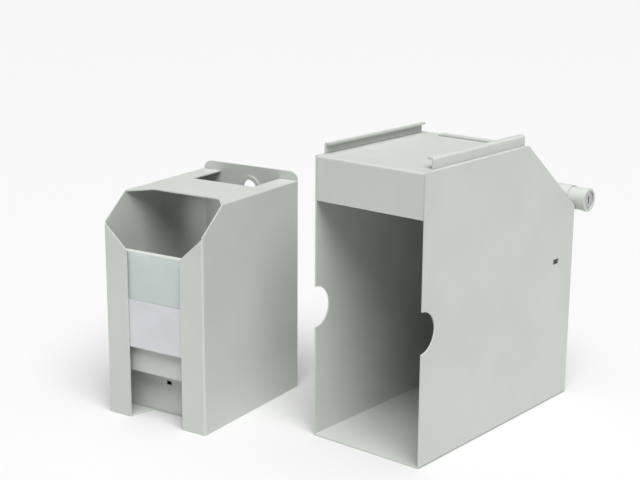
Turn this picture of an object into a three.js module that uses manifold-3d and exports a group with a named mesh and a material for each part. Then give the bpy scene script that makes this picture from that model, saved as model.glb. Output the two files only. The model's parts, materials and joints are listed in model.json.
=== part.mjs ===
// Under-counter banknote safe: a folded sheet-steel housing with two hanging rails and a key lock
// behind it, and the note cassette that slides into it, standing beside it on the same bench.
// Millimetres. X runs to the right, Y to the rear and Z up. The origin is the middle of the
// housing's underside. Each assembly below is drawn from its own front edge, at Y = 0.
import * as THREE from "three";
import { mergeVertices } from "three/addons/utils/BufferGeometryUtils.js";
import Module from "manifold-3d";

const wasm = await Module();
wasm.setup();

// ---- clearances shared by both assemblies ----
const SEAM = 0.3; // between two pieces that are welded, clipped or pressed together
const RUNNING_CLEARANCE = 0.35; // around a shaft or a bolt that moves
const BEND_INSIDE_RADIUS = 0.6;
const PIERCE = 2; // how far a cutting tool runs past the sheet it cuts

// ---- housing ----
const HOUSING_WIDTH = 103;
const HOUSING_DEPTH = 217;
const HOUSING_HEIGHT = 228;
const HOUSING_SHEET = 1.2;
const HEADER_HEIGHT = 35;
const SLOPE_RUN = 77; // how far the sloped back reaches behind the flat top
const SLOPE_DROP = 61; // how far it comes down
const FINGER_NOTCH_RADIUS = 16.5;
const FINGER_NOTCH_HEIGHT = 107.4;
const BACK_LIP_WIDTH = 58;
const BACK_LIP_DEPTH = 10;
const RAIL_SHEET = 1.4;
const RAIL_HEIGHT = 8.5;
const RAIL_FLANGE = 5.2;
const LEFT_RAIL_INSETS = { side: 0.6, front: 10, rear: 5 }; // the rails are welded on unevenly
const RIGHT_RAIL_INSETS = { side: 4.2, front: 14.7, rear: 0.3 };
const TAB_SLOT_LENGTH = 9;
const TAB_SLOT_HEIGHT = 4.8;
const TAB_SLOT_REAR_INSET = 22;
const TAB_SLOT_LEVEL = 122.9;
const TAB_ROOT = 1; // how far the bent tab's root runs on into the side
const TAB_LENGTH = 5;
const TAB_HEIGHT = 2.6;
const TAB_REACH = 2.4;

// ---- lock behind the housing ----
const TUBE_RADIUS = 9.4;
const TUBE_WALL = 1.6;
const TUBE_LEFT_INSET = 19.5; // how far the other end stops short of the housing's left side
const TUBE_OVERHANG = 8; // how far the key end stands out past the housing's side
const TUBE_CENTRE_RISE = 3.5; // above the corner between the rear wall and the slope
const SLEEVE_WALL = 0.9;
const SLEEVE_END_GAP = 12; // bare tube between the sleeve and the collar
const SLEEVE_LENGTH = 34;
const COLLAR_RISE = 0.5; // how far the collar stands proud of the tube
const COLLAR_LENGTH = 4;
const KEY_PLUG_LENGTH = 14;
const KEY_PLUG_RECESS = 0.8;
const KEYWAY_WIDTH = 1.3;
const KEYWAY_HEIGHT = 7;
const KEYWAY_DEPTH = 9;
const SPINDLE_RADIUS = 2.6;
const BUSH_LENGTH = 7;
const CAM_WIDTH = 6;
const CAM_HUB_WALL = 0.9;
const CAM_GAP = 0.14; // from the cam's rising edge to the end of the bolt
const CAM_TIP_CLEARANCE = 0.4; // from the cam's highest point to the bore of the tube
const KEY_TURN_DEG = 90;
const CAM_DWELL_DEG = 12;
const CAM_STEP_DEG = 6;
const BOLT_RADIUS = 3.5;
const BOLT_TIP_CLEARANCE = 0.7; // from the drawn-back bolt to the cassette's back
const BOLT_NOSE_LENGTH = 7; // bolt that shows in front of its guide
const BOLT_COLLAR_RISE = 1.3;
const BOLT_COLLAR_LENGTH = 2.5;
const BOLT_GUIDE_WALL = 1.45;
const BOLT_GUIDE_FRONT_WALL = 2;
const BOLT_SPRING_LENGTH = 8.4;
const BOLT_SPRING_WIRE = 0.4;
const BOLT_SPRING_TURNS = 5;
const GUSSET_THICKNESS = 3;
const LEFT_GUSSET_INSET = 12; // from the left end of the tube
const RIGHT_GUSSET_INSET = 10.5; // from the left end of the sleeve
const GUSSET_HEIGHT = 22;
const GUSSET_LEDGE = 3;

// ---- cassette ----
const CASSETTE_SIDE_CLEARANCE = 1; // each side, inside the housing
const CASSETTE_DEPTH = 136;
const CASSETTE_HEADROOM = 0.3; // under the header, with the cassette standing on the housing's floor
const CASSETTE_SHEET = 1;
const CASSETTE_REAR_RISE = 7.5; // the rear wall stands this far above the top plate
const REAR_CORNER_RADIUS = 8;
const SIDE_CHAMFER_RUN = 27;
const SIDE_CHAMFER_DROP = 21.5;
const FRONT_SLOT_WIDTH = 53.5;
const VEE_DROP = 20.2; // how far the front edges fall from the sides to the slot
const KEEPER_RISE = 3; // of the keeper above the lock bolt, so that the bolt enters its lower half
const KEEPER_HOLE_RADIUS = 9;
const KEEPER_WALL = 1.6;
const KEEPER_FLANGE_RADIUS = 10.6;
const KEEPER_FLANGE_THICKNESS = 1.2;
const TOP_FRONT_CUT_TAPER = 15;
const TOP_FRONT_CUT_DEPTH = 44; // from the front of the cassette
const TOP_REAR_STRIP = 17;
const TOP_REAR_CUT_LENGTH = 41; // measured from the back of the cassette
const BASE_NOTCH_DEPTH = 22.3;
const BASE_NOTCH_TAPER = 5.9;
const SHELF_SETBACK = 0.2; // of the shelf's panel behind the notch
const SHELF_HEIGHT = 37;
const SHELF_BACK_GAP = 3;
const SHELF_SLOT_WIDTH = 7;
const HOOK_SLOT_WIDTH = 5;
const HOOK_SLOT_HEIGHT = 3.4;
const HOOK_BRIDGE = 2;
const HOOK_DROP = 7; // under the shelf
const HOOK_OFFSET = -4;
const NOTE_SIDE_ROOM = 7.3; // beside the widest note, for the nuts that hold the window
const WINDOW_SIDE_CLEARANCE = 1.3;
const WINDOW_BOTTOM = 61;
const WINDOW_TOP_GAP = 1.3; // under the lower edge of the front's vee
const WINDOW_THICKNESS = 1.2;
const WINDOW_FRONT_GAP = 0.9; // from the front flanges to the window, beside the band's thickness
const BAND_THICKNESS = 0.7;
const BAND_HEIGHT = 40;
const BAND_OVERLAP = 2.25; // behind each front flange
const STUD_RADIUS = 1.5;
const STUD_LENGTH = 6.5;
const STUD_END_INSET = 9;
const NUT_RADIUS = 3.1;
const NUT_THICKNESS = 2.2;
const PLATE_SIDE_INSET = 2; // inside each edge of the widest note
const PLATE_TOP_DROP = 7; // under the top of the window
const PLATE_THICKNESS = 1;
const PLATE_REST_GAP = 4; // from the window to the plate when the cassette is empty
const PLATE_FLANGE = 10;
const PLATE_LIP_RUN = 7;
const PLATE_LIP_RISE = 5;
const FOOT_HALF_WIDTH = 14;
const CARRIAGE_WIDTH = 40;
const CARRIAGE_LENGTH = 20;
const CARRIAGE_HEIGHT = 16;
const CARRIAGE_REST_GAP = 12; // room for the closed note spring
const CARRIAGE_END_ROOM = 2;
const STEM_WIDTH = 6;
const ROD_RADIUS = 2.5;
const ROD_SPREAD = 14;
const ROD_DROP = 13; // under the shelf
const PLATE_SCREW_RADIUS = 1.4;
const PLATE_SCREW_HEAD = 2.6;
const PLATE_SCREW_HEAD_THICKNESS = 1.4;
const PLATE_SCREW_DEPTH = 7;
const NOTE_SPRING_RADIUS = 2.7;
const NOTE_SPRING_WIRE = 0.4;
const NOTE_SPRING_TURNS = 12;
const NOTE_SPRING_END_SHARE = 0.12; // of its length, over which each end draws in

// ---- how the cassette stands beside the housing ----
const CASSETTE_OFFSET_X = -164.7;
const CASSETTE_OFFSET_Y = -64.9; // front edge to front edge
const CASSETTE_TURN_DEG = 7.65;

// ---- smoothness ----
const SCREW_SIDES = 20;
const SCREW_HEAD_SIDES = 24;
const HOLE_SIDES = 32;
const TUBE_SIDES = 48;
const BEND_STEPS = 4;
const CORNER_STEPS = 10;
const COIL_STEPS_PER_TURN = 12;
const COIL_SECTION_STEPS = 3;
const WELD_DISTANCE = 1e-4; // corners closer than this are one corner

// ---- sizes worked out from the ones above ----
const HALF_WIDTH = HOUSING_WIDTH / 2;
const INNER_HALF_WIDTH = HALF_WIDTH - HOUSING_SHEET;
const TOP_DEPTH = HOUSING_DEPTH - SLOPE_RUN;
const REAR_WALL_HEIGHT = HOUSING_HEIGHT - SLOPE_DROP;
const SLOPE_LENGTH = Math.hypot(SLOPE_RUN, SLOPE_DROP);
const PANEL_HALF_WIDTH = INNER_HALF_WIDTH - SEAM;
const CASSETTE_HALF_WIDTH = INNER_HALF_WIDTH - CASSETTE_SIDE_CLEARANCE;
const CASSETTE_INNER_HALF = CASSETTE_HALF_WIDTH - CASSETTE_SHEET;
const HEADER_BOTTOM = HOUSING_HEIGHT - HEADER_HEIGHT;
const REAR_WALL_TOP = HEADER_BOTTOM - HOUSING_SHEET - CASSETTE_HEADROOM;
const CASSETTE_HEIGHT = REAR_WALL_TOP - CASSETTE_REAR_RISE;
const SHELF_FRONT = BASE_NOTCH_DEPTH + SHELF_SETBACK;

// How far behind the housing's front a level of the slope lies, on its outer face.
function slopeDepthAt(level) {
  return TOP_DEPTH + ((HOUSING_HEIGHT - level) * SLOPE_RUN) / SLOPE_DROP;
}

// The parked cassette's back, where its top edge meets the inner face of the slope.
const SLOPE_SHEET_DEPTH = (HOUSING_SHEET * SLOPE_LENGTH) / SLOPE_DROP;
const CASSETTE_STOP = slopeDepthAt(REAR_WALL_TOP + HOUSING_SHEET) - SLOPE_SHEET_DEPTH - SEAM;

// The lock tube lies behind the corner between the slope and the rear wall.
const SLEEVE_BORE = TUBE_RADIUS + SEAM;
const SLEEVE_RADIUS = SLEEVE_BORE + SLEEVE_WALL;
const TUBE_CENTRE_Z = REAR_WALL_HEIGHT + TUBE_CENTRE_RISE;
const TUBE_CENTRE_Y =
  HOUSING_DEPTH + Math.sqrt((SLEEVE_RADIUS + SEAM) ** 2 - TUBE_CENTRE_RISE ** 2);
const TUBE_LEFT_END = TUBE_LEFT_INSET - HALF_WIDTH;
const TUBE_RIGHT_END = HALF_WIDTH + TUBE_OVERHANG;
const TUBE_BORE = TUBE_RADIUS - TUBE_WALL;
const KEEPER_LEVEL = TUBE_CENTRE_Z - HOUSING_SHEET + KEEPER_RISE;

// ---------------------------------------------------------------- solids

function toSolid(geometry) {
  geometry.deleteAttribute("normal");
  geometry.deleteAttribute("uv");
  const merged = mergeVertices(geometry, WELD_DISTANCE);
  const vertProperties = new Float32Array(merged.attributes.position.array);
  const triVerts = new Uint32Array(merged.index.array);
  return new wasm.Manifold(new wasm.Mesh({ numProp: 3, vertProperties, triVerts }));
}

function toGeometry(solid) {
  const mesh = solid.getMesh();
  const geometry = new THREE.BufferGeometry();
  geometry.setAttribute("position", new THREE.BufferAttribute(mesh.vertProperties, 3));
  geometry.setIndex(new THREE.BufferAttribute(mesh.triVerts, 1));
  geometry.computeVertexNormals();
  return geometry;
}

function box([x0, x1], [y0, y1], [z0, z1]) {
  const geometry = new THREE.BoxGeometry(x1 - x0, y1 - y0, z1 - z0);
  geometry.translate((x0 + x1) / 2, (y0 + y1) / 2, (z0 + z1) / 2);
  return toSolid(geometry);
}

// An outline drawn out along +Z from Z = 0.
function drawnOut(points, depth) {
  const shape = new THREE.Shape(points.map(([u, v]) => new THREE.Vector2(u, v)));
  return new THREE.ExtrudeGeometry(shape, { depth, bevelEnabled: false });
}

// An outline in (Y, Z), drawn out along X.
function prismX(points, [x0, x1]) {
  const geometry = drawnOut(points, x1 - x0);
  const axes = new THREE.Matrix4().makeBasis(
    new THREE.Vector3(0, 1, 0),
    new THREE.Vector3(0, 0, 1),
    new THREE.Vector3(1, 0, 0),
  );
  geometry.applyMatrix4(axes).translate(x0, 0, 0);
  return toSolid(geometry);
}

// An outline in (X, Z), drawn out along Y.
function prismY(points, [y0, y1]) {
  const geometry = drawnOut(points, y1 - y0);
  geometry.rotateX(Math.PI / 2).translate(0, y1, 0);
  return toSolid(geometry);
}

// An outline in (X, Y), drawn out along Z.
function prismZ(points, [z0, z1]) {
  const geometry = drawnOut(points, z1 - z0);
  geometry.translate(0, 0, z0);
  return toSolid(geometry);
}

function cylinderX(radius, [x0, x1], y, z, sides = HOLE_SIDES) {
  const geometry = new THREE.CylinderGeometry(radius, radius, x1 - x0, sides);
  geometry.rotateZ(Math.PI / 2).translate((x0 + x1) / 2, y, z);
  return toSolid(geometry);
}

function cylinderY(radius, [y0, y1], x, z, sides = HOLE_SIDES) {
  const geometry = new THREE.CylinderGeometry(radius, radius, y1 - y0, sides);
  geometry.translate(x, (y0 + y1) / 2, z);
  return toSolid(geometry);
}

function cylinderZ(radius, [z0, z1], x, y, sides = HOLE_SIDES) {
  const geometry = new THREE.CylinderGeometry(radius, radius, z1 - z0, sides);
  geometry.rotateX(Math.PI / 2).translate(x, y, (z0 + z1) / 2);
  return toSolid(geometry);
}

// Closed outline of a folded sheet. The path is one face and the other lies to its left; each
// corner of the path becomes a bend with the same inside radius.
function foldedSheet(path, thickness) {
  const points = path.map(([u, v]) => new THREE.Vector2(u, v));
  const near = [];
  const far = [];
  const leftOf = (direction) => new THREE.Vector2(-direction.y, direction.x);
  const stepFrom = (i) => points[i + 1].clone().sub(points[i]).normalize();
  const addPair = (point, normal) => {
    near.push(point.clone());
    far.push(point.clone().addScaledVector(normal, thickness));
  };
  addPair(points[0], leftOf(stepFrom(0)));
  for (let i = 1; i < points.length - 1; i++) {
    const before = stepFrom(i - 1);
    const after = stepFrom(i);
    const turn = Math.atan2(before.cross(after), before.dot(after));
    const side = Math.sign(turn);
    const radius = BEND_INSIDE_RADIUS + (side > 0 ? thickness : 0);
    const start = points[i].clone().addScaledVector(before, -radius * Math.tan(Math.abs(turn) / 2));
    const centre = start.clone().addScaledVector(leftOf(before), side * radius);
    for (let step = 0; step <= BEND_STEPS; step++) {
      const normal = leftOf(before).rotateAround(new THREE.Vector2(), (turn * step) / BEND_STEPS);
      addPair(centre.clone().addScaledVector(normal, -side * radius), normal);
    }
  }
  addPair(points.at(-1), leftOf(stepFrom(points.length - 2)));
  return [...near, ...far.reverse()].map((point) => [point.x, point.y]);
}

// A coil spring along +Y. Over endShare of its length each end draws in to the axis.
class CoilCurve extends THREE.Curve {
  constructor(radius, turns, [y0, y1], x, z, endShare) {
    super();
    Object.assign(this, { radius, turns, y0, y1, x, z, endShare });
  }

  getPoint(t, target = new THREE.Vector3()) {
    const fromEnd = Math.min(t, 1 - t);
    const opened = this.endShare > 0 ? THREE.MathUtils.smoothstep(fromEnd, 0, this.endShare) : 1;
    const angle = t * this.turns * 2 * Math.PI;
    const reach = this.radius * opened;
    return target.set(
      this.x + reach * Math.cos(angle),
      THREE.MathUtils.lerp(this.y0, this.y1, t),
      this.z + reach * Math.sin(angle),
    );
  }
}

function coil(curve, wireRadius) {
  const section = new THREE.Shape();
  section.absarc(0, 0, wireRadius, 0, 2 * Math.PI, false);
  const geometry = new THREE.ExtrudeGeometry(section, {
    steps: curve.turns * COIL_STEPS_PER_TURN,
    curveSegments: COIL_SECTION_STEPS,
    extrudePath: curve,
    bevelEnabled: false,
  });
  return toSolid(geometry);
}

// ---------------------------------------------------------------- finishes

function finish(colour, roughness, metalness) {
  return new THREE.MeshStandardMaterial({ color: colour, roughness, metalness });
}

const paintedSteel = () => finish(0xc3c8c0, 0.55, 0.05);
const plainSteel = () => finish(0xb4b6b6, 0.35, 0.9);
const springSteel = () => finish(0x8f9294, 0.3, 0.95);
const brass = () => finish(0xc2a35a, 0.35, 0.9);
const milkyPlastic = () => finish(0xdfe5e3, 0.3, 0);
const whitePlastic = () => finish(0xe4e4e6, 0.45, 0);
const greyPlastic = () => finish(0x7d8285, 0.6, 0);

function addPiece(group, name, solid, material) {
  const mesh = new THREE.Mesh(toGeometry(solid), material);
  mesh.name = name;
  group.add(mesh);
}

// ---------------------------------------------------------------- housing

// Floor and both sides in one folded sheet, with the finger notches and the lanced side tabs.
function housingBody() {
  const path = [
    [-HALF_WIDTH, HOUSING_HEIGHT],
    [-HALF_WIDTH, 0],
    [HALF_WIDTH, 0],
    [HALF_WIDTH, HOUSING_HEIGHT],
  ];
  const sideProfile = [
    [0, 0],
    [HOUSING_DEPTH, 0],
    [HOUSING_DEPTH, REAR_WALL_HEIGHT],
    [TOP_DEPTH, HOUSING_HEIGHT],
    [0, HOUSING_HEIGHT],
  ];
  const across = [-HALF_WIDTH - PIERCE, HALF_WIDTH + PIERCE];
  const tabSlotRear = HOUSING_DEPTH - TAB_SLOT_REAR_INSET;
  const tabSlotFront = tabSlotRear - TAB_SLOT_LENGTH;
  let body = prismY(foldedSheet(path, HOUSING_SHEET), [0, HOUSING_DEPTH]);
  body = body.intersect(prismX(sideProfile, across));
  body = body.subtract(cylinderX(FINGER_NOTCH_RADIUS, across, 0, FINGER_NOTCH_HEIGHT, TUBE_SIDES));
  const slotLevels = [TAB_SLOT_LEVEL - TAB_SLOT_HEIGHT / 2, TAB_SLOT_LEVEL + TAB_SLOT_HEIGHT / 2];
  body = body.subtract(box(across, [tabSlotFront, tabSlotRear], slotLevels));
  for (const side of [-1, 1]) {
    body = body.add(lancedTab(side, tabSlotFront));
  }
  return body;
}

// The tab springs from the front edge of its slot and leans into the housing.
function lancedTab(side, slotFront) {
  const outline = [
    [side * HALF_WIDTH, slotFront - TAB_ROOT],
    [side * HALF_WIDTH, slotFront],
    [side * (HALF_WIDTH - TAB_REACH), slotFront + TAB_LENGTH],
    [side * (INNER_HALF_WIDTH - TAB_REACH), slotFront + TAB_LENGTH],
    [side * INNER_HALF_WIDTH, slotFront - TAB_ROOT],
  ];
  const facing = side > 0 ? outline : outline.reverse();
  return prismZ(facing, [TAB_SLOT_LEVEL - TAB_HEIGHT / 2, TAB_SLOT_LEVEL + TAB_HEIGHT / 2]);
}

// Flat top with the header folded down at the front, set between the two sides.
function housingTop() {
  const path = [
    [TOP_DEPTH - SLOPE_SHEET_DEPTH - SEAM, HOUSING_HEIGHT],
    [0, HOUSING_HEIGHT],
    [0, HEADER_BOTTOM],
  ];
  return prismX(foldedSheet(path, HOUSING_SHEET), [-PANEL_HALF_WIDTH, PANEL_HALF_WIDTH]);
}

// Rear wall and slope; in the middle a lip runs on over the top plate.
function housingBack() {
  const lipTop = HOUSING_HEIGHT + SEAM + HOUSING_SHEET;
  const foot = [HOUSING_DEPTH, HOUSING_SHEET + SEAM];
  const corner = [HOUSING_DEPTH, REAR_WALL_HEIGHT];
  const panelPath = [foot, corner, [TOP_DEPTH, HOUSING_HEIGHT]];
  const lipFold = [slopeDepthAt(lipTop), lipTop];
  const lipPath = [foot, corner, lipFold, [TOP_DEPTH - BACK_LIP_DEPTH, lipTop]];
  const lipWidth = [-BACK_LIP_WIDTH / 2, BACK_LIP_WIDTH / 2];
  const panel = prismX(foldedSheet(panelPath, HOUSING_SHEET), [-PANEL_HALF_WIDTH, PANEL_HALF_WIDTH]);
  const lip = prismX(foldedSheet(lipPath, HOUSING_SHEET), lipWidth);
  return panel.add(lip).subtract(boltTool());
}

// Inverted-L hanging rail; side is -1 for the left one and 1 for the right one.
function rail(side, insets) {
  const web = HALF_WIDTH - insets.side;
  const bottom = HOUSING_HEIGHT + SEAM;
  const top = HOUSING_HEIGHT + RAIL_HEIGHT;
  const path = [
    [side * web, bottom],
    [side * web, top],
    [side * (web - RAIL_FLANGE), top],
  ];
  const facing = side > 0 ? path : path.reverse();
  return prismY(foldedSheet(facing, RAIL_SHEET), [insets.front, TOP_DEPTH - insets.rear]);
}

// ---------------------------------------------------------------- lock

const COLLAR_FRONT = TUBE_RIGHT_END - COLLAR_LENGTH;
const COLLAR_RADIUS = TUBE_RADIUS + COLLAR_RISE;
const SLEEVE_RIGHT_END = COLLAR_FRONT - SLEEVE_END_GAP;
const SLEEVE_LEFT_END = SLEEVE_RIGHT_END - SLEEVE_LENGTH;
const KEY_PLUG_END = TUBE_RIGHT_END - KEY_PLUG_RECESS;
const KEY_PLUG_START = KEY_PLUG_END - KEY_PLUG_LENGTH;
const CAM_LOW_RADIUS = SPINDLE_RADIUS + CAM_HUB_WALL;
const CAM_LIFT = TUBE_BORE - CAM_TIP_CLEARANCE - CAM_LOW_RADIUS; // bolt travel for a quarter turn
const BOLT_COLLAR_RADIUS = BOLT_RADIUS + BOLT_COLLAR_RISE;
const BOLT_GUIDE_BORE = BOLT_COLLAR_RADIUS + RUNNING_CLEARANCE;
const BOLT_GUIDE_RADIUS = BOLT_GUIDE_BORE + BOLT_GUIDE_WALL;
const BOLT_TIP = CASSETTE_STOP + BOLT_TIP_CLEARANCE;
const BOLT_END = TUBE_CENTRE_Y - camReach() - CAM_GAP;
const GUIDE_FRONT = BOLT_TIP + BOLT_NOSE_LENGTH;
const SPRING_FRONT = GUIDE_FRONT + BOLT_GUIDE_FRONT_WALL + SEAM;
const BOLT_COLLAR_FRONT = SPRING_FRONT + BOLT_SPRING_LENGTH + SEAM;

// How far the cam reaches towards the bolt while the key stands at rest. The rising edge beside the
// bolt's axis reaches further than the low edge on it.
function camReach() {
  let reach = CAM_LOW_RADIUS;
  for (let deg = 0; deg <= KEY_TURN_DEG; deg++) {
    const radius = CAM_LOW_RADIUS + (CAM_LIFT * deg) / KEY_TURN_DEG;
    reach = Math.max(reach, radius * Math.cos(THREE.MathUtils.degToRad(deg)));
  }
  return reach;
}

function onTubeAxis(radius, span, sides = HOLE_SIDES) {
  return cylinderX(radius, span, TUBE_CENTRE_Y, TUBE_CENTRE_Z, sides);
}

function onBoltAxis(radius, span) {
  return cylinderY(radius, span, 0, TUBE_CENTRE_Z);
}

// Clears the way of the bolt from inside the housing to the middle of the tube.
function boltTool() {
  return onBoltAxis(BOLT_RADIUS + RUNNING_CLEARANCE, [GUIDE_FRONT - PIERCE, TUBE_CENTRE_Y]);
}

function ringOnTube(outer, inner, [x0, x1]) {
  const bore = [x0 - PIERCE, x1 + PIERCE];
  return onTubeAxis(outer, [x0, x1], TUBE_SIDES).subtract(onTubeAxis(inner, bore, TUBE_SIDES));
}

function lockTube() {
  return ringOnTube(TUBE_RADIUS, TUBE_BORE, [TUBE_LEFT_END, COLLAR_FRONT - SEAM]).subtract(boltTool());
}

// Where a narrow housing brings the sleeve over the bolt, it is pierced like the tube.
function tubeSleeve() {
  const span = [SLEEVE_LEFT_END, SLEEVE_RIGHT_END];
  return ringOnTube(SLEEVE_RADIUS, SLEEVE_BORE, span).subtract(boltTool());
}

function keyPlug() {
  const keyway = box(
    [KEY_PLUG_END - KEYWAY_DEPTH, KEY_PLUG_END + PIERCE],
    [TUBE_CENTRE_Y - KEYWAY_WIDTH / 2, TUBE_CENTRE_Y + KEYWAY_WIDTH / 2],
    [TUBE_CENTRE_Z - KEYWAY_HEIGHT / 2, TUBE_CENTRE_Z + KEYWAY_HEIGHT / 2],
  );
  const plugRadius = TUBE_BORE - RUNNING_CLEARANCE;
  return onTubeAxis(plugRadius, [KEY_PLUG_START, KEY_PLUG_END], TUBE_SIDES).subtract(keyway);
}

// A snail cam: its edge rises evenly while the key turns, so the bolt moves in step with the key.
function lockCam() {
  const outline = [];
  const startDeg = 180 - KEY_TURN_DEG - CAM_DWELL_DEG;
  for (let deg = startDeg; deg < startDeg + 360; deg += CAM_STEP_DEG) {
    const share = THREE.MathUtils.clamp((180 - deg) / KEY_TURN_DEG, 0, 1);
    const radius = CAM_LOW_RADIUS + CAM_LIFT * share;
    const angle = THREE.MathUtils.degToRad(deg);
    const y = TUBE_CENTRE_Y + radius * Math.cos(angle);
    const z = TUBE_CENTRE_Z + radius * Math.sin(angle);
    outline.push([y, z]);
  }
  const span = [-CAM_WIDTH / 2, CAM_WIDTH / 2];
  return prismX(outline, span).subtract(onTubeAxis(SPINDLE_RADIUS + SEAM, [-CAM_WIDTH, CAM_WIDTH]));
}

function lockBolt() {
  const collar = [BOLT_COLLAR_FRONT, BOLT_COLLAR_FRONT + BOLT_COLLAR_LENGTH];
  return onBoltAxis(BOLT_RADIUS, [BOLT_TIP, BOLT_END]).add(onBoltAxis(BOLT_COLLAR_RADIUS, collar));
}

// A short sleeve on the inner face of the slope; the bolt's return spring works inside it.
function boltGuide() {
  const inset = ((HOUSING_SHEET + SEAM) * SLOPE_LENGTH) / SLOPE_DROP;
  const low = REAR_WALL_HEIGHT - SLOPE_DROP;
  const room = [
    [TOP_DEPTH, low],
    [slopeDepthAt(low) - inset, low],
    [slopeDepthAt(HOUSING_HEIGHT) - inset, HOUSING_HEIGHT],
    [0, HOUSING_HEIGHT],
  ];
  const rearLimit = HOUSING_DEPTH - HOUSING_SHEET - SEAM;
  const springRoom = [GUIDE_FRONT + BOLT_GUIDE_FRONT_WALL, HOUSING_DEPTH];
  return onBoltAxis(BOLT_GUIDE_RADIUS, [GUIDE_FRONT, rearLimit])
    .intersect(prismX(room, [-HALF_WIDTH, HALF_WIDTH]))
    .subtract(onBoltAxis(BOLT_GUIDE_BORE, springRoom))
    .subtract(boltTool());
}

function boltSpring() {
  const radius = (BOLT_RADIUS + BOLT_GUIDE_BORE) / 2;
  const front = SPRING_FRONT + BOLT_SPRING_WIRE;
  const rear = SPRING_FRONT + BOLT_SPRING_LENGTH - BOLT_SPRING_WIRE;
  const curve = new CoilCurve(radius, BOLT_SPRING_TURNS, [front, rear], 0, TUBE_CENTRE_Z, 0);
  return coil(curve, BOLT_SPRING_WIRE);
}

// A web of thick plate that carries the tube on the rear wall.
function tubeGusset(middle, tubeRadius) {
  const face = HOUSING_DEPTH + SEAM;
  const outline = [
    [face, REAR_WALL_HEIGHT - GUSSET_HEIGHT],
    [TUBE_CENTRE_Y, TUBE_CENTRE_Z - tubeRadius - GUSSET_LEDGE],
    [TUBE_CENTRE_Y, TUBE_CENTRE_Z],
    [face, REAR_WALL_HEIGHT - GUSSET_LEDGE],
  ];
  const span = [middle - GUSSET_THICKNESS / 2, middle + GUSSET_THICKNESS / 2];
  return prismX(outline, span).subtract(onTubeAxis(tubeRadius + SEAM, span, TUBE_SIDES));
}

// ---------------------------------------------------------------- cassette

const SIDE_FRONT_HEIGHT = CASSETTE_HEIGHT - SIDE_CHAMFER_DROP;
const SLOT_EDGE_HEIGHT = SIDE_FRONT_HEIGHT - VEE_DROP;
const HALF_SLOT = FRONT_SLOT_WIDTH / 2;
const SHELL_INNER_REAR = CASSETTE_DEPTH - CASSETTE_SHEET;
const BASE_FRONT = CASSETTE_SHEET + SEAM;
const BASE_REAR = SHELL_INNER_REAR - SEAM;
const INSERT_HALF_WIDTH = CASSETTE_INNER_HALF - SEAM;
const SHELF_PANEL_BACK = SHELF_FRONT + CASSETTE_SHEET;
const CARRIAGE_FRONT = SHELF_PANEL_BACK + CARRIAGE_REST_GAP;
const HOOK_LEVEL = SHELF_HEIGHT - HOOK_DROP;
const ROD_LEVEL = SHELF_HEIGHT - ROD_DROP;
const NOTE_HALF_WIDTH = CASSETTE_INNER_HALF - NOTE_SIDE_ROOM; // of the widest note, standing upright
const WINDOW_HALF_WIDTH = CASSETTE_INNER_HALF - WINDOW_SIDE_CLEARANCE;
const WINDOW_TOP = SLOT_EDGE_HEIGHT - WINDOW_TOP_GAP;
const WINDOW_SETBACK = CASSETTE_SHEET + BAND_THICKNESS + WINDOW_FRONT_GAP;
const BAND_HALF_WIDTH = HALF_SLOT + BAND_OVERLAP;
const BAND_TOP = WINDOW_BOTTOM + BAND_HEIGHT;
const STUD_SPREAD = NOTE_HALF_WIDTH + NUT_RADIUS + SEAM;
const WINDOW_BACK = WINDOW_SETBACK + WINDOW_THICKNESS;
const PLATE_HALF_WIDTH = NOTE_HALF_WIDTH - PLATE_SIDE_INSET;
const PLATE_TOP = WINDOW_TOP - PLATE_TOP_DROP;
const PLATE_FRONT = WINDOW_BACK + PLATE_REST_GAP;
const PLATE_FOOT_LEVEL = SHELF_HEIGHT + RUNNING_CLEARANCE;
const PLATE_SCREW_PLACES = [1 / 4, 3 / 4].map((share) => CARRIAGE_FRONT + share * CARRIAGE_LENGTH);

// Both sides, the two narrow front flanges and the taller rear wall, folded from one blank.
function cassetteShell() {
  const plan = [
    [HALF_SLOT, 0],
    [CASSETTE_HALF_WIDTH, 0],
    [CASSETTE_HALF_WIDTH, CASSETTE_DEPTH],
    [-CASSETTE_HALF_WIDTH, CASSETTE_DEPTH],
    [-CASSETTE_HALF_WIDTH, 0],
    [-HALF_SLOT, 0],
  ];
  const sideProfile = [
    [0, 0],
    [CASSETTE_DEPTH, 0],
    [CASSETTE_DEPTH, REAR_WALL_TOP],
    [SHELL_INNER_REAR, REAR_WALL_TOP],
    [SHELL_INNER_REAR, CASSETTE_HEIGHT],
    [SIDE_CHAMFER_RUN, CASSETTE_HEIGHT],
    [0, SIDE_FRONT_HEIGHT],
  ];
  const frontVee = [
    [-CASSETTE_HALF_WIDTH, SIDE_FRONT_HEIGHT],
    [-HALF_SLOT, SLOT_EDGE_HEIGHT],
    [HALF_SLOT, SLOT_EDGE_HEIGHT],
    [CASSETTE_HALF_WIDTH, SIDE_FRONT_HEIGHT],
    [CASSETTE_HALF_WIDTH, REAR_WALL_TOP],
    [-CASSETTE_HALF_WIDTH, REAR_WALL_TOP],
  ];
  const across = [-CASSETTE_HALF_WIDTH - PIERCE, CASSETTE_HALF_WIDTH + PIERCE];
  const throughRear = [SHELL_INNER_REAR - PIERCE, CASSETTE_DEPTH + PIERCE];
  return prismZ(foldedSheet(plan, CASSETTE_SHEET), [0, REAR_WALL_TOP])
    .intersect(prismX(sideProfile, across))
    .intersect(prismY(roundShouldered(), [-PIERCE, CASSETTE_DEPTH + PIERCE]))
    .subtract(prismY(frontVee, [-PIERCE, CASSETTE_SHEET]))
    .subtract(cylinderY(KEEPER_HOLE_RADIUS, throughRear, 0, KEEPER_LEVEL, TUBE_SIDES));
}

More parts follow.
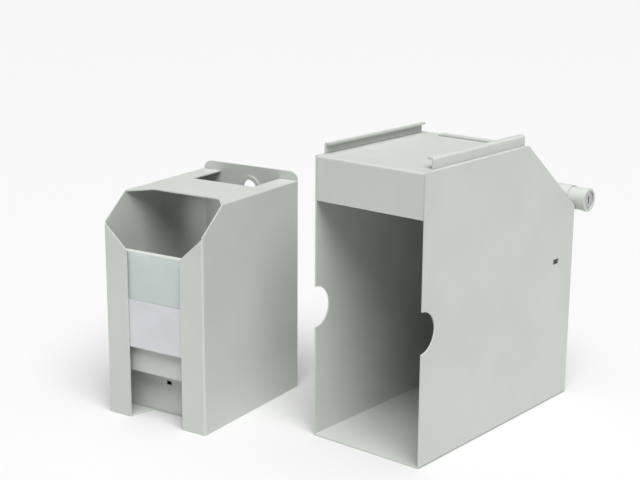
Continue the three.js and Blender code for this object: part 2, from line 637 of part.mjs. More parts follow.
// Front outline of the cassette with its two round upper corners.
function roundShouldered() {
  const outline = [
    [-CASSETTE_HALF_WIDTH, 0],
    [CASSETTE_HALF_WIDTH, 0],
  ];
  for (const [side, startDeg] of [[1, 0], [-1, 90]]) {
    for (let step = 0; step <= CORNER_STEPS; step++) {
      const angle = THREE.MathUtils.degToRad(startDeg + (90 * step) / CORNER_STEPS);
      const centre = side * (CASSETTE_HALF_WIDTH - REAR_CORNER_RADIUS);
      const x = centre + REAR_CORNER_RADIUS * Math.cos(angle);
      const z = REAR_WALL_TOP - REAR_CORNER_RADIUS * (1 - Math.sin(angle));
      outline.push([x, z]);
    }
  }
  return outline;
}

// Top plate, cut back at the front for the fingers and at the rear in front of the lock hole.
function cassetteTop() {
  const waist = INSERT_HALF_WIDTH - TOP_REAR_STRIP;
  const frontCut = INSERT_HALF_WIDTH - TOP_FRONT_CUT_TAPER;
  const rearCutFront = CASSETTE_DEPTH - TOP_REAR_CUT_LENGTH;
  const outline = [
    [-INSERT_HALF_WIDTH, SIDE_CHAMFER_RUN],
    [-frontCut, TOP_FRONT_CUT_DEPTH],
    [frontCut, TOP_FRONT_CUT_DEPTH],
    [INSERT_HALF_WIDTH, SIDE_CHAMFER_RUN],
    [INSERT_HALF_WIDTH, BASE_REAR],
    [waist, BASE_REAR],
    [waist, rearCutFront],
    [-waist, rearCutFront],
    [-waist, BASE_REAR],
    [-INSERT_HALF_WIDTH, BASE_REAR],
  ];
  return prismZ(outline, [CASSETTE_HEIGHT - CASSETTE_SHEET, CASSETTE_HEIGHT]);
}

// Base plate with the tapered notch under the front slot.
function cassetteBase() {
  const outline = [
    [-INSERT_HALF_WIDTH, BASE_FRONT],
    [-HALF_SLOT, BASE_FRONT],
    [-HALF_SLOT + BASE_NOTCH_TAPER, BASE_NOTCH_DEPTH],
    [HALF_SLOT - BASE_NOTCH_TAPER, BASE_NOTCH_DEPTH],
    [HALF_SLOT, BASE_FRONT],
    [INSERT_HALF_WIDTH, BASE_FRONT],
    [INSERT_HALF_WIDTH, BASE_REAR],
    [-INSERT_HALF_WIDTH, BASE_REAR],
  ];
  return prismZ(outline, [0, CASSETTE_SHEET]);
}

// Upright panel behind the notch, folded back at the top into the shelf that the notes stand on.
function noteShelf() {
  const path = [
    [BASE_REAR - SHELF_BACK_GAP, SHELF_HEIGHT],
    [SHELF_FRONT, SHELF_HEIGHT],
    [SHELF_FRONT, CASSETTE_SHEET + SEAM],
  ];
  const slotEnd = SHELF_BACK_GAP + CARRIAGE_END_ROOM;
  const stemSlot = box(
    [-SHELF_SLOT_WIDTH / 2, SHELF_SLOT_WIDTH / 2],
    [CARRIAGE_FRONT - SHELF_SLOT_WIDTH, BASE_REAR - slotEnd],
    [SHELF_HEIGHT - CASSETTE_SHEET - PIERCE, SHELF_HEIGHT + PIERCE],
  );
  let shelf = prismX(foldedSheet(path, CASSETTE_SHEET), [-INSERT_HALF_WIDTH, INSERT_HALF_WIDTH]);
  shelf = shelf.subtract(stemSlot);
  for (const side of [-1, 1]) {
    const middle = HOOK_LEVEL + (side * (HOOK_BRIDGE + HOOK_SLOT_HEIGHT)) / 2;
    const hookSlot = box(
      [HOOK_OFFSET - HOOK_SLOT_WIDTH / 2, HOOK_OFFSET + HOOK_SLOT_WIDTH / 2],
      [SHELF_FRONT - PIERCE, SHELF_PANEL_BACK + PIERCE],
      [middle - HOOK_SLOT_HEIGHT / 2, middle + HOOK_SLOT_HEIGHT / 2],
    );
    shelf = shelf.subtract(hookSlot);
  }
  return shelf;
}

const STUD_LEVELS = [WINDOW_BOTTOM + STUD_END_INSET, WINDOW_TOP - STUD_END_INSET];
const STUD_PLACES = [-1, 1].flatMap((side) => STUD_LEVELS.map((level) => [side * STUD_SPREAD, level]));

function noteWindow() {
  let window = box(
    [-WINDOW_HALF_WIDTH, WINDOW_HALF_WIDTH],
    [WINDOW_SETBACK, WINDOW_BACK],
    [WINDOW_BOTTOM, WINDOW_TOP],
  );
  for (const [x, level] of STUD_PLACES) {
    const hole = [WINDOW_SETBACK - PIERCE, WINDOW_BACK + PIERCE];
    window = window.subtract(cylinderY(STUD_RADIUS + SEAM, hole, x, level));
  }
  return window;
}

function windowBand() {
  const back = WINDOW_SETBACK - SEAM;
  const depth = [back - BAND_THICKNESS, back];
  return box([-BAND_HALF_WIDTH, BAND_HALF_WIDTH], depth, [WINDOW_BOTTOM, BAND_TOP]);
}

function windowStud(x, level) {
  const front = CASSETTE_SHEET + SEAM;
  return cylinderY(STUD_RADIUS, [front, front + STUD_LENGTH], x, level, SCREW_SIDES);
}

function windowNut(x, level) {
  const front = WINDOW_BACK + SEAM;
  const hexagon = cylinderY(NUT_RADIUS, [front, front + NUT_THICKNESS], x, level, 6);
  const thread = [front - PIERCE, front + NUT_THICKNESS + PIERCE];
  return hexagon.subtract(cylinderY(STUD_RADIUS + SEAM, thread, x, level, SCREW_SIDES));
}

// Flanged ring that lines the hole where the lock bolt enters.
function keeperRing() {
  const flangeBack = SHELL_INNER_REAR - SEAM;
  const flange = [flangeBack - KEEPER_FLANGE_THICKNESS, flangeBack];
  const barrelRadius = KEEPER_HOLE_RADIUS - SEAM;
  const bore = [flange[0] - PIERCE, CASSETTE_DEPTH + PIERCE];
  return cylinderY(KEEPER_FLANGE_RADIUS, flange, 0, KEEPER_LEVEL, TUBE_SIDES)
    .add(cylinderY(barrelRadius, [flange[0], CASSETTE_DEPTH], 0, KEEPER_LEVEL, TUBE_SIDES))
    .subtract(cylinderY(barrelRadius - KEEPER_WALL, bore, 0, KEEPER_LEVEL, TUBE_SIDES));
}

function guideRod(side) {
  return cylinderY(ROD_RADIUS, [SHELF_PANEL_BACK + SEAM, BASE_REAR], side * ROD_SPREAD, ROD_LEVEL);
}

// Sliding block under the shelf; its stem reaches up through the slot to the note plate's foot.
function carriage() {
  const span = [CARRIAGE_FRONT, CARRIAGE_FRONT + CARRIAGE_LENGTH];
  const top = ROD_LEVEL + CARRIAGE_HEIGHT / 2;
  const stemTop = PLATE_FOOT_LEVEL - SEAM;
  let block = box([-CARRIAGE_WIDTH / 2, CARRIAGE_WIDTH / 2], span, [top - CARRIAGE_HEIGHT, top]);
  block = block.add(box([-STEM_WIDTH / 2, STEM_WIDTH / 2], span, [ROD_LEVEL, stemTop]));
  for (const side of [-1, 1]) {
    const bore = [span[0] - PIERCE, span[1] + PIERCE];
    const radius = ROD_RADIUS + RUNNING_CLEARANCE;
    block = block.subtract(cylinderY(radius, bore, side * ROD_SPREAD, ROD_LEVEL));
  }
  for (const place of PLATE_SCREW_PLACES) {
    const hole = [stemTop - PLATE_SCREW_DEPTH - SEAM, stemTop + PIERCE];
    block = block.subtract(cylinderZ(PLATE_SCREW_RADIUS + SEAM, hole, 0, place, SCREW_SIDES));
  }
  return block;
}

// The span in X from inner to outer on one side of the middle.
function onSide(side, inner, outer) {
  return side > 0 ? [inner, outer] : [-outer, -inner];
}

// Upright plate that presses the notes forward, with side flanges, a lead-in lip and a foot.
function notePlate() {
  const footEnd = CARRIAGE_FRONT + CARRIAGE_LENGTH;
  // From the lip down to the foot, so that the sheet lies behind the front face and above the shelf.
  const path = [
    [PLATE_FRONT + PLATE_LIP_RUN, PLATE_TOP + PLATE_LIP_RISE],
    [PLATE_FRONT, PLATE_TOP],
    [PLATE_FRONT, PLATE_FOOT_LEVEL],
    [footEnd, PLATE_FOOT_LEVEL],
  ];
  const flangeDepth = [PLATE_FRONT + PLATE_THICKNESS / 2, PLATE_FRONT + PLATE_FLANGE];
  const flangeHeight = [PLATE_FOOT_LEVEL + PLATE_THICKNESS / 2, PLATE_TOP];
  const footDepth = [PLATE_FRONT + PLATE_FLANGE, footEnd + PIERCE];
  const footHeight = [PLATE_FOOT_LEVEL - PIERCE, PLATE_FOOT_LEVEL + PIERCE];
  let plate = prismX(foldedSheet(path, PLATE_THICKNESS), [-PLATE_HALF_WIDTH, PLATE_HALF_WIDTH]);
  for (const side of [-1, 1]) {
    const flangeWidth = onSide(side, PLATE_HALF_WIDTH - PLATE_THICKNESS, PLATE_HALF_WIDTH);
    const cutWidth = onSide(side, FOOT_HALF_WIDTH, PLATE_HALF_WIDTH + PIERCE);
    plate = plate.add(box(flangeWidth, flangeDepth, flangeHeight));
    plate = plate.subtract(box(cutWidth, footDepth, footHeight));
  }
  for (const place of PLATE_SCREW_PLACES) {
    const hole = [PLATE_FOOT_LEVEL - PIERCE, PLATE_FOOT_LEVEL + PIERCE];
    plate = plate.subtract(cylinderZ(PLATE_SCREW_RADIUS + SEAM, hole, 0, place, SCREW_SIDES));
  }
  return plate;
}

function plateScrew(place) {
  const seat = PLATE_FOOT_LEVEL + PLATE_THICKNESS + SEAM;
  const shank = [PLATE_FOOT_LEVEL - PLATE_SCREW_DEPTH, seat + PLATE_SCREW_HEAD_THICKNESS / 2];
  const head = [seat, seat + PLATE_SCREW_HEAD_THICKNESS];
  const screw = cylinderZ(PLATE_SCREW_RADIUS, shank, 0, place, SCREW_SIDES);
  return screw.add(cylinderZ(PLATE_SCREW_HEAD, head, 0, place, SCREW_HEAD_SIDES));
}

function noteSpring() {
  const span = [SHELF_PANEL_BACK + SEAM, CARRIAGE_FRONT - SEAM];
  const curve = new CoilCurve(
    NOTE_SPRING_RADIUS,
    NOTE_SPRING_TURNS,
    span,
    HOOK_OFFSET,
    HOOK_LEVEL,
    NOTE_SPRING_END_SHARE,
  );
  return coil(curve, NOTE_SPRING_WIRE);
}

// ---------------------------------------------------------------- assembly

function buildHousing() {
  const group = new THREE.Group();
  const collarSpan = [COLLAR_FRONT, TUBE_RIGHT_END];
  const leftGusset = TUBE_LEFT_END + LEFT_GUSSET_INSET;
  const rightGusset = SLEEVE_LEFT_END + RIGHT_GUSSET_INSET;
  const bushSpan = [TUBE_LEFT_END, TUBE_LEFT_END + BUSH_LENGTH];
  const bushRadius = TUBE_BORE - SEAM;
  const shaftHole = SPINDLE_RADIUS + RUNNING_CLEARANCE;
  const spindleSpan = [TUBE_LEFT_END - SEAM, KEY_PLUG_START - SEAM];
  addPiece(group, "housing_body", housingBody(), paintedSteel());
  addPiece(group, "housing_top", housingTop(), paintedSteel());
  addPiece(group, "housing_back", housingBack(), paintedSteel());
  addPiece(group, "left_rail", rail(-1, LEFT_RAIL_INSETS), paintedSteel());
  addPiece(group, "right_rail", rail(1, RIGHT_RAIL_INSETS), paintedSteel());
  addPiece(group, "lock_tube", lockTube(), paintedSteel());
  addPiece(group, "tube_sleeve", tubeSleeve(), paintedSteel());
  addPiece(group, "lock_collar", ringOnTube(COLLAR_RADIUS, TUBE_BORE, collarSpan), paintedSteel());
  addPiece(group, "left_tube_gusset", tubeGusset(leftGusset, TUBE_RADIUS), paintedSteel());
  addPiece(group, "right_tube_gusset", tubeGusset(rightGusset, SLEEVE_RADIUS), paintedSteel());
  addPiece(group, "spindle_bush", ringOnTube(bushRadius, shaftHole, bushSpan), greyPlastic());
  addPiece(group, "key_plug", keyPlug(), plainSteel());
  addPiece(group, "lock_spindle", onTubeAxis(SPINDLE_RADIUS, spindleSpan), plainSteel());
  addPiece(group, "lock_cam", lockCam(), brass());
  addPiece(group, "lock_bolt", lockBolt(), plainSteel());
  addPiece(group, "bolt_guide", boltGuide(), plainSteel());
  addPiece(group, "bolt_spring", boltSpring(), springSteel());
  group.position.y = -HOUSING_DEPTH / 2;
  return group;
}

function buildCassette() {
  const group = new THREE.Group();
  addPiece(group, "cassette_shell", cassetteShell(), paintedSteel());
  addPiece(group, "cassette_top", cassetteTop(), paintedSteel());
  addPiece(group, "cassette_base", cassetteBase(), paintedSteel());
  addPiece(group, "note_shelf", noteShelf(), paintedSteel());
  addPiece(group, "note_window", noteWindow(), milkyPlastic());
  addPiece(group, "window_band", windowBand(), whitePlastic());
  STUD_PLACES.forEach(([x, level], index) => {
    addPiece(group, `window_stud_${index + 1}`, windowStud(x, level), plainSteel());
    addPiece(group, `window_nut_${index + 1}`, windowNut(x, level), plainSteel());
  });
  addPiece(group, "keeper_ring", keeperRing(), paintedSteel());
  addPiece(group, "left_guide_rod", guideRod(-1), plainSteel());
  addPiece(group, "right_guide_rod", guideRod(1), plainSteel());
  addPiece(group, "carriage", carriage(), greyPlastic());
  addPiece(group, "note_plate", notePlate(), paintedSteel());
  PLATE_SCREW_PLACES.forEach((place, index) => {
    addPiece(group, `plate_screw_${index + 1}`, plateScrew(place), plainSteel());
  });
  addPiece(group, "note_spring", noteSpring(), springSteel());
  group.position.set(CASSETTE_OFFSET_X, CASSETTE_OFFSET_Y - HOUSING_DEPTH / 2, 0);
  group.rotation.z = THREE.MathUtils.degToRad(CASSETTE_TURN_DEG);
  return group;
}

const safe = new THREE.Group();
safe.add(buildHousing());
safe.add(buildCassette());

export default safe;
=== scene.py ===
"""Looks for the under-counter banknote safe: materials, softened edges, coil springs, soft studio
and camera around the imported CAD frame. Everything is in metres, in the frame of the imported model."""

import json
import math

import bpy
from mathutils import Matrix, Vector


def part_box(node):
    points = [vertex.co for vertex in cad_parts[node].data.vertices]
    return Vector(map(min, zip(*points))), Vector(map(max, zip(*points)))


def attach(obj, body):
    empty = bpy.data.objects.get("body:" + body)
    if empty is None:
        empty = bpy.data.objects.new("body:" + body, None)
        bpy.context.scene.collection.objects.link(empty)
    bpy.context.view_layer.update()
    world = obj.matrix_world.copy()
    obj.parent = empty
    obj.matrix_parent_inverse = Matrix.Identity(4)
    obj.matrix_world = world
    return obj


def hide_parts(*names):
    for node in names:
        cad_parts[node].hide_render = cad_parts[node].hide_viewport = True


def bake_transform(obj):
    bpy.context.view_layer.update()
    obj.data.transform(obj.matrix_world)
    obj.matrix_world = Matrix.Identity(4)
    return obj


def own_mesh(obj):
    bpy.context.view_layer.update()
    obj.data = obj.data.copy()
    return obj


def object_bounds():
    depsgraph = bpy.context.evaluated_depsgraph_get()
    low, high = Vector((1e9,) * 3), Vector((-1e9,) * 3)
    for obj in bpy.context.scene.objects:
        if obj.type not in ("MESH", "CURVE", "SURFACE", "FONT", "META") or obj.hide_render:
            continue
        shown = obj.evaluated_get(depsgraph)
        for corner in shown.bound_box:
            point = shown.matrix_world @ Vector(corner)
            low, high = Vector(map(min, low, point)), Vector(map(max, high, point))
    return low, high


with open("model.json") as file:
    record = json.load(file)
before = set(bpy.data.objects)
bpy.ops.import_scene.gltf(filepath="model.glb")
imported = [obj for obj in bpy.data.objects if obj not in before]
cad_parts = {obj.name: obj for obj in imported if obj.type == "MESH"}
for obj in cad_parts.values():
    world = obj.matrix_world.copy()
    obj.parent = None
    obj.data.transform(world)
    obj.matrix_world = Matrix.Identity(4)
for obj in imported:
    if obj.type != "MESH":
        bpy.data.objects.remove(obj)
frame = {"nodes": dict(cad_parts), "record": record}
CAD_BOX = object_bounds()
NODES = frame["nodes"]
SLOT_OF = {part["node"]: part["material_slot"] for part in frame["record"]["subparts"]}
SCENE = bpy.context.scene

MM = 0.001


# ---------------------------------------------------------------- camera

CAMERA_PLACE = (0.610367, -0.899898, 0.429711)
CAMERA_YAW = math.radians(39.69337)  # to the left of straight ahead, which is +Y
CAMERA_PITCH = math.radians(14.57763)  # downwards
CAMERA_ROLL = math.radians(0.35459)
SENSOR_WIDTH_MM = 36
FOCAL_LENGTH_MM = 77.708
CLIP_START = 0.01
CLIP_END = 50


def add_camera():
    """The photograph's viewpoint: from the right and a little above, with a short telephoto lens."""
    yaw, pitch, roll = CAMERA_YAW, CAMERA_PITCH, CAMERA_ROLL
    forward = Vector((-math.sin(yaw) * math.cos(pitch), math.cos(yaw) * math.cos(pitch), -math.sin(pitch)))
    level_right = Vector((math.cos(yaw), math.sin(yaw), 0))
    level_up = level_right.cross(forward)
    right = level_right * math.cos(roll) + level_up * math.sin(roll)
    up = right.cross(forward)
    turn = Matrix((right, up, -forward)).transposed()
    data = bpy.data.cameras.new("camera")
    data.sensor_width = SENSOR_WIDTH_MM
    data.lens = FOCAL_LENGTH_MM
    data.clip_start = CLIP_START
    data.clip_end = CLIP_END
    camera = bpy.data.objects.new("camera", data)
    camera.matrix_world = Matrix.Translation(Vector(CAMERA_PLACE)) @ turn.to_4x4()
    SCENE.collection.objects.link(camera)
    SCENE.camera = camera


# ---------------------------------------------------------------- materials

# Colours are linear; a finish's grain, speck and relief are true sizes.
PAINT = (0.545, 0.578, 0.536)
MILKY_THIN = (0.66, 0.745, 0.715)
MILKY_THICK = (0.71, 0.785, 0.76)
BEVEL_SAMPLES = 6


class Nodes:
    """Short names for building one material's node tree."""

    def __init__(self, name):
        self.material = bpy.data.materials.new(name)
        self.material.use_nodes = True
        self.tree = self.material.node_tree
        self.shader = self.tree.nodes["Principled BSDF"]
        self.coordinates = self.tree.nodes.new("ShaderNodeTexCoord").outputs["Object"]

    def link(self, output, socket):
        self.tree.links.new(output, socket)

    def noise(self, size, detail=3.0, roughness=0.55, stretch=None):
        """Noise with features about size metres across; stretch below 1 draws them out along an axis."""
        node = self.tree.nodes.new("ShaderNodeTexNoise")
        node.inputs["Scale"].default_value = 1 / size
        node.inputs["Detail"].default_value = detail
        node.inputs["Roughness"].default_value = roughness
        place = self.coordinates
        if stretch:
            mapping = self.tree.nodes.new("ShaderNodeMapping")
            mapping.inputs["Scale"].default_value = stretch
            self.link(place, mapping.inputs["Vector"])
            place = mapping.outputs["Vector"]
        self.link(place, node.inputs["Vector"])
        return node.outputs["Fac"]

    def cells(self, size):
        """Rounded cells about size metres across, as in orange peel."""
        node = self.tree.nodes.new("ShaderNodeTexVoronoi")
        node.feature = "SMOOTH_F1"
        node.inputs["Scale"].default_value = 1 / size
        node.inputs["Smoothness"].default_value = 0.6
        self.link(self.coordinates, node.inputs["Vector"])
        return node.outputs["Distance"]

    def spread(self, value, low, high, to_low, to_high):
        """Maps the range low to high onto to_low to to_high, and clamps what lies outside it."""
        node = self.tree.nodes.new("ShaderNodeMapRange")
        sockets = ("From Min", "From Max", "To Min", "To Max")
        for socket, number in zip(sockets, (low, high, to_low, to_high)):
            node.inputs[socket].default_value = number
        self.link(value, node.inputs["Value"])
        return node.outputs["Result"]

    def math(self, operation, first, second):
        """One arithmetic step; each of first and second is a number or an output."""
        node = self.tree.nodes.new("ShaderNodeMath")
        node.operation = operation
        for socket, value in zip(node.inputs, (first, second)):
            if isinstance(value, (int, float)):
                socket.default_value = value
            else:
                self.link(value, socket)
        return node.outputs["Value"]

    def mix(self, factor, first, second):
        """Colour between first and second; each is a colour or an output."""
        node = self.tree.nodes.new("ShaderNodeMix")
        node.data_type = "RGBA"
        for socket, value in zip((node.inputs[6], node.inputs[7]), (first, second)):
            if isinstance(value, tuple):
                socket.default_value = (*value, 1)
            else:
                self.link(value, socket)
        self.link(factor, node.inputs[0])
        return node.outputs[2]

    def edges(self, radius):
        """Near 1 along edges sharper than a bend, 0 on flat sheet; the mask for painted edge highlights."""
        bevel = self.tree.nodes.new("ShaderNodeBevel")
        bevel.samples = BEVEL_SAMPLES
        bevel.inputs["Radius"].default_value = radius
        geometry = self.tree.nodes.new("ShaderNodeNewGeometry")
        dot = self.tree.nodes.new("ShaderNodeVectorMath")
        dot.operation = "DOT_PRODUCT"
        self.link(bevel.outputs["Normal"], dot.inputs[0])
        self.link(geometry.outputs["Normal"], dot.inputs[1])
        return self.spread(dot.outputs["Value"], 0.995, 0.9, 0, 1)

    def bump(self, height, distance, strength=1.0):
        node = self.tree.nodes.new("ShaderNodeBump")
        node.inputs["Strength"].default_value = strength
        node.inputs["Distance"].default_value = distance
        self.link(height, node.inputs["Height"])
        self.link(node.outputs["Normal"], self.shader.inputs["Normal"])

    def set(self, **values):
        for name, value in values.items():
            self.shader.inputs[name.replace("_", " ")].default_value = value


def tint(colour, factor):
    return tuple(min(1, channel * factor) for channel in colour)


def painted_steel():
    """Fine-textured light grey powder coat, with a painted highlight that lightens it a little along its
    edges.
    """
    colour = PAINT
    paint = Nodes("painted_steel")
    broad = paint.noise(60 * MM, detail=2)
    speck = paint.noise(0.5 * MM, detail=2)
    peel = paint.cells(0.9 * MM)
    base = paint.mix(paint.spread(broad, 0.35, 0.65, 0, 1), tint(colour, 0.975), tint(colour, 1.02))
    speckled = paint.mix(paint.spread(speck, 0.3, 0.7, 0, 0.12), base, tint(colour, 0.8))
    # painted highlight: the colour is lightened along the edges by the bevel mask
    painted_edge_highlight = paint.mix(paint.math("MULTIPLY", paint.edges(0.5 * MM), 0.5), speckled, tint(colour, 1.25))
    paint.link(painted_edge_highlight, paint.shader.inputs["Base Color"])
    scuff = paint.noise(9 * MM, detail=4)
    paint.link(paint.spread(scuff, 0.3, 0.7, 0.42, 0.54), paint.shader.inputs["Roughness"])
    relief = paint.math("ADD", paint.math("MULTIPLY", peel, 0.8), paint.math("MULTIPLY", speck, 0.35))
    paint.bump(relief, 0.035 * MM, 0.5)
    paint.set(IOR=1.5)
    return paint.material


def bare_metal(name, colour, roughness, stretch):
    """Drawn or turned metal: fine streaks along the work, clouded plating, and a painted highlight along
    its edges.
    """
    metal = Nodes(name)
    streak = metal.noise(0.35 * MM, detail=2, stretch=stretch)
    cloud = metal.noise(4 * MM, detail=4)
    shaded = metal.mix(metal.spread(cloud, 0.3, 0.7, 0, 1), tint(colour, 0.88), tint(colour, 1.06))
    # painted highlight: the colour is lightened along the edges by the bevel mask
    painted_edge_highlight = metal.mix(metal.math("MULTIPLY", metal.edges(0.25 * MM), 0.6), shaded, tint(colour, 1.3))
    metal.link(painted_edge_highlight, metal.shader.inputs["Base Color"])
    rough = metal.math("ADD", metal.spread(streak, 0.3, 0.7, roughness - 0.06, roughness + 0.06),
                       metal.spread(cloud, 0.3, 0.7, -0.04, 0.04))
    metal.link(rough, metal.shader.inputs["Roughness"])
    metal.bump(streak, 0.012 * MM, 0.6)
    metal.set(Metallic=1.0)
    return metal.material


def milky_plastic():
    """Translucent sheet, cloudy through its thickness, with a faintly uneven gloss."""
    sheet = Nodes("milky_plastic")
    cloud = sheet.noise(14 * MM, detail=3)
    gloss = sheet.noise(9 * MM, detail=2)
    base = sheet.mix(sheet.spread(cloud, 0.3, 0.7, 0, 1), MILKY_THIN, MILKY_THICK)
    sheet.link(base, sheet.shader.inputs["Base Color"])
    sheet.link(sheet.spread(gloss, 0.3, 0.7, 0.3, 0.36), sheet.shader.inputs["Roughness"])
    sheet.bump(cloud, 0.02 * MM, 0.2)
    sheet.set(Transmission_Weight=0.3, IOR=1.49)
    return sheet.material


def moulded_plastic(name, colour, roughness, grain, depth):
    """Moulded or filled plastic with a fine satin grain."""
    plastic = Nodes(name)
    cloud = plastic.noise(20 * MM, detail=2)
    fine = plastic.noise(grain, detail=3)
    base = plastic.mix(plastic.spread(cloud, 0.3, 0.7, 0, 1), tint(colour, 0.96), tint(colour, 1.03))
    plastic.link(base, plastic.shader.inputs["Base Color"])
    plastic.link(plastic.spread(fine, 0.3, 0.7, roughness - 0.07, roughness + 0.07),
                 plastic.shader.inputs["Roughness"])
    plastic.bump(fine, depth, 0.5)
    return plastic.material


def make_materials():
    """One material for each slot of the record."""
    return {
        "painted_steel": painted_steel(),
        "plain_steel": bare_metal("plain_steel", (0.52, 0.53, 0.54), 0.36, (1, 0.12, 1)),
        "spring_steel": bare_metal("spring_steel", (0.42, 0.43, 0.44), 0.3, (1, 1, 1)),
        "brass": bare_metal("brass", (0.66, 0.50, 0.22), 0.32, (0.15, 1, 1)),
        "milky_plastic": milky_plastic(),
        "white_plastic": moulded_plastic("white_plastic", (0.60, 0.615, 0.635), 0.42, 0.4 * MM, 0.01 * MM),
        "grey_plastic": moulded_plastic("grey_plastic", (0.2, 0.22, 0.23), 0.55, 0.3 * MM, 0.03 * MM),
    }


# ---------------------------------------------------------------- CAD nodes

SHEET_EDGE = 0.22 * MM
MACHINED_EDGE = 0.18 * MM
EDGE_ANGLE = math.radians(40)  # sharper edges than this are rounded
CREASE_ANGLE = math.radians(31)  # sharper edges than this stay sharp in the shading
UNBEVELLED = {"bolt_spring", "note_spring"}


def smooth_by_angle():
    """Modifier group that shades smooth over bends and round walls and keeps real edges sharp."""
    group = bpy.data.node_groups.new("smooth_by_angle", "GeometryNodeTree")
    group.interface.new_socket("Geometry", in_out="INPUT", socket_type="NodeSocketGeometry")
    group.interface.new_socket("Geometry", in_out="OUTPUT", socket_type="NodeSocketGeometry")
    new = group.nodes.new
    start, end = new("NodeGroupInput"), new("NodeGroupOutput")
    faces, creases = new("GeometryNodeSetShadeSmooth"), new("GeometryNodeSetShadeSmooth")
    faces.domain = "FACE"
    creases.domain = "EDGE"
    creases.inputs["Shade Smooth"].default_value = False
    angle, compare = new("GeometryNodeInputMeshEdgeAngle"), new("FunctionNodeCompare")
    compare.data_type = "FLOAT"
    compare.operation = "GREATER_THAN"
    compare.inputs[1].default_value = CREASE_ANGLE
    link = group.links.new
    link(start.outputs[0], faces.inputs["Geometry"])
    link(faces.outputs[0], creases.inputs["Geometry"])
    link(angle.outputs["Unsigned Angle"], compare.inputs[0])
    link(compare.outputs[0], creases.inputs["Selection"])
    link(creases.outputs[0], end.inputs[0])
    return group


def soften(node, width, group):
    """Rounds the cut edges of a CAD node and smooths its shading, both as modifiers."""
    if node.name not in UNBEVELLED:
        bevel = node.modifiers.new("edge", "BEVEL")
        bevel.width = width
        bevel.segments = 2
        bevel.limit_method = "ANGLE"
        bevel.angle_limit = EDGE_ANGLE
        bevel.use_clamp_overlap = False
        bevel.miter_outer = "MITER_SHARP"
        bevel.harden_normals = False
    shade = node.modifiers.new("shade", "NODES")
    shade.node_group = group


def dress_nodes(materials):
    """Gives every CAD node its slot's material and softened edges."""
    group = smooth_by_angle()
    for name, node in NODES.items():
        slots = node.data.materials
        slots.clear()
        slots.append(materials[SLOT_OF[name]])
        is_sheet = SLOT_OF[name] == "painted_steel"
        soften(node, SHEET_EDGE if is_sheet else MACHINED_EDGE, group)


# ---------------------------------------------------------------- springs

WIRE_RADIUS = 0.4 * MM
WIRE_SIDES = 10
STEPS_PER_TURN = 24
NOTE_SPRING_TURNS = 12
NOTE_SPRING_END_SHARE = 0.12
BOLT_SPRING_TURNS = 5


def along_axis(name, axis):
    """Where a node begins and ends along an axis."""
    reach = [corner.co.dot(axis) for corner in NODES[name].data.vertices]
    return min(reach), max(reach)


def coil_points(name, axis, turns, end_share):
    """Centre line of a coil spring in its node's place; over end_share each end draws in to the axis."""
    low, high = (Vector(corner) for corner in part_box(name))
    first, last = (edge + side * WIRE_RADIUS for edge, side in zip(along_axis(name, axis), (1, -1)))
    middle = (low + high) / 2
    middle -= axis * middle.dot(axis)
    radius = (high.z - low.z) / 2 - WIRE_RADIUS
    across = axis.cross(Vector((0, 0, 1))).normalized()
    points = []
    steps = turns * STEPS_PER_TURN
    for step in range(steps + 1):
        share = step / steps
        opened = min(1, min(share, 1 - share) / end_share) if end_share else 1
        reach = radius * opened * opened * (3 - 2 * opened)
        angle = 2 * math.pi * turns * share
        points.append(middle + axis * (first + (last - first) * share)
                      + across * reach * math.cos(angle) + Vector((0, 0, reach * math.sin(angle))))
    return points


def round_wire(name, points, axis):
    """A closed tube of round section along the points."""
    corners, faces = [], []
    for i, point in enumerate(points):
        tangent = (points[min(i + 1, len(points) - 1)] - points[max(i - 1, 0)]).normalized()
        side = tangent.cross(axis).normalized()
        up = side.cross(tangent)
        for k in range(WIRE_SIDES):
            turn = 2 * math.pi * k / WIRE_SIDES
            corners.append(point + WIRE_RADIUS * (side * math.cos(turn) + up * math.sin(turn)))
    for i in range(len(points) - 1):
        for k in range(WIRE_SIDES):
            after = (k + 1) % WIRE_SIDES
            here, there = i * WIRE_SIDES, (i + 1) * WIRE_SIDES
            faces.append((here + k, there + k, there + after, here + after))
    last = (len(points) - 1) * WIRE_SIDES
    faces.append(tuple(range(WIRE_SIDES)))
    faces.append(tuple(last + k for k in reversed(range(WIRE_SIDES))))
    mesh = bpy.data.meshes.new(name)
    mesh.from_pydata(corners, [], faces)
    mesh.validate()
    for face in mesh.polygons:
        face.use_smooth = len(face.vertices) == 4
    wire = bpy.data.objects.new(name, mesh)
    SCENE.collection.objects.link(wire)
    return wire


def joint_row(name):
    return next(row for row in frame["record"]["behaviour"]["joints"] if row["name"] == name)


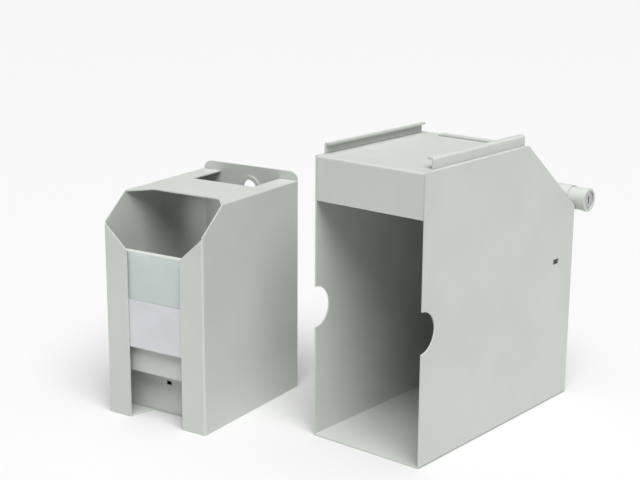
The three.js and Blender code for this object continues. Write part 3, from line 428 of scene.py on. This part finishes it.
def add_springs(materials):
    """Both coil springs, as round wire in place of their CAD nodes; the bolt spring is attached to the
    housing.
    """
    axis = Vector(joint_row("note_plate_slide")["axis"]).normalized()
    points = coil_points("note_spring", axis, NOTE_SPRING_TURNS, NOTE_SPRING_END_SHARE)
    spring = round_wire("note_spring_coil", points, axis)
    spring.data.materials.append(materials["spring_steel"])
    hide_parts("note_spring")
    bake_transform(spring)

    rearward = Vector((0, 1, 0))
    points = coil_points("bolt_spring", rearward, BOLT_SPRING_TURNS, 0)
    spring = round_wire("bolt_spring_coil", points, rearward)
    spring.data.materials.append(materials["spring_steel"])
    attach(spring, "housing")
    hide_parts("bolt_spring")
    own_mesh(spring)


# ---------------------------------------------------------------- studio

FLOOR_COLOUR = (0.69, 0.69, 0.69, 1)
FLOOR_HALF = 14
FLOOR_GAP = 0.1 * MM  # under the object's lowest point
WORLD_STRENGTH = 0.08


def add_floor():
    """A wide sheet of matt pale paper under the object."""
    paper = Nodes("studio_floor")
    paper.set(Base_Color=FLOOR_COLOUR, Roughness=0.9)
    mesh = bpy.data.meshes.new("studio_floor")
    half = FLOOR_HALF
    level = CAD_BOX[0].z - FLOOR_GAP
    corners = [(-half, -half, level), (half, -half, level), (half, half, level), (-half, half, level)]
    mesh.from_pydata(corners, [], [(0, 1, 2, 3)])
    mesh.materials.append(paper.material)
    floor = bpy.data.objects.new("studio_floor", mesh)
    SCENE.collection.objects.link(floor)


def add_sun(name, direction, strength, spread_deg):
    """Wide soft light that comes from the given direction, even over the whole floor."""
    data = bpy.data.lights.new(name, "SUN")
    data.energy = strength
    data.angle = math.radians(spread_deg)
    light = bpy.data.objects.new(name, data)
    light.rotation_euler = (-Vector(direction)).to_track_quat("-Z", "Y").to_euler()
    SCENE.collection.objects.link(light)


def add_studio():
    """A main light from the front right and high up, a wider one from overhead, and a faint white world."""
    add_floor()
    add_sun("key", (0.42, -0.33, 0.84), 3.3, 45)
    add_sun("overhead", (0, 0, 1), 1.35, 80)
    world = bpy.data.worlds.new("studio")
    world.use_nodes = True
    world.node_tree.nodes["Background"].inputs["Color"].default_value = (1, 1, 1, 1)
    world.node_tree.nodes["Background"].inputs["Strength"].default_value = WORLD_STRENGTH
    SCENE.world = world
    SCENE.view_settings.view_transform = "Standard"


add_camera()
MATERIALS = make_materials()
dress_nodes(MATERIALS)
add_springs(MATERIALS)
add_studio()
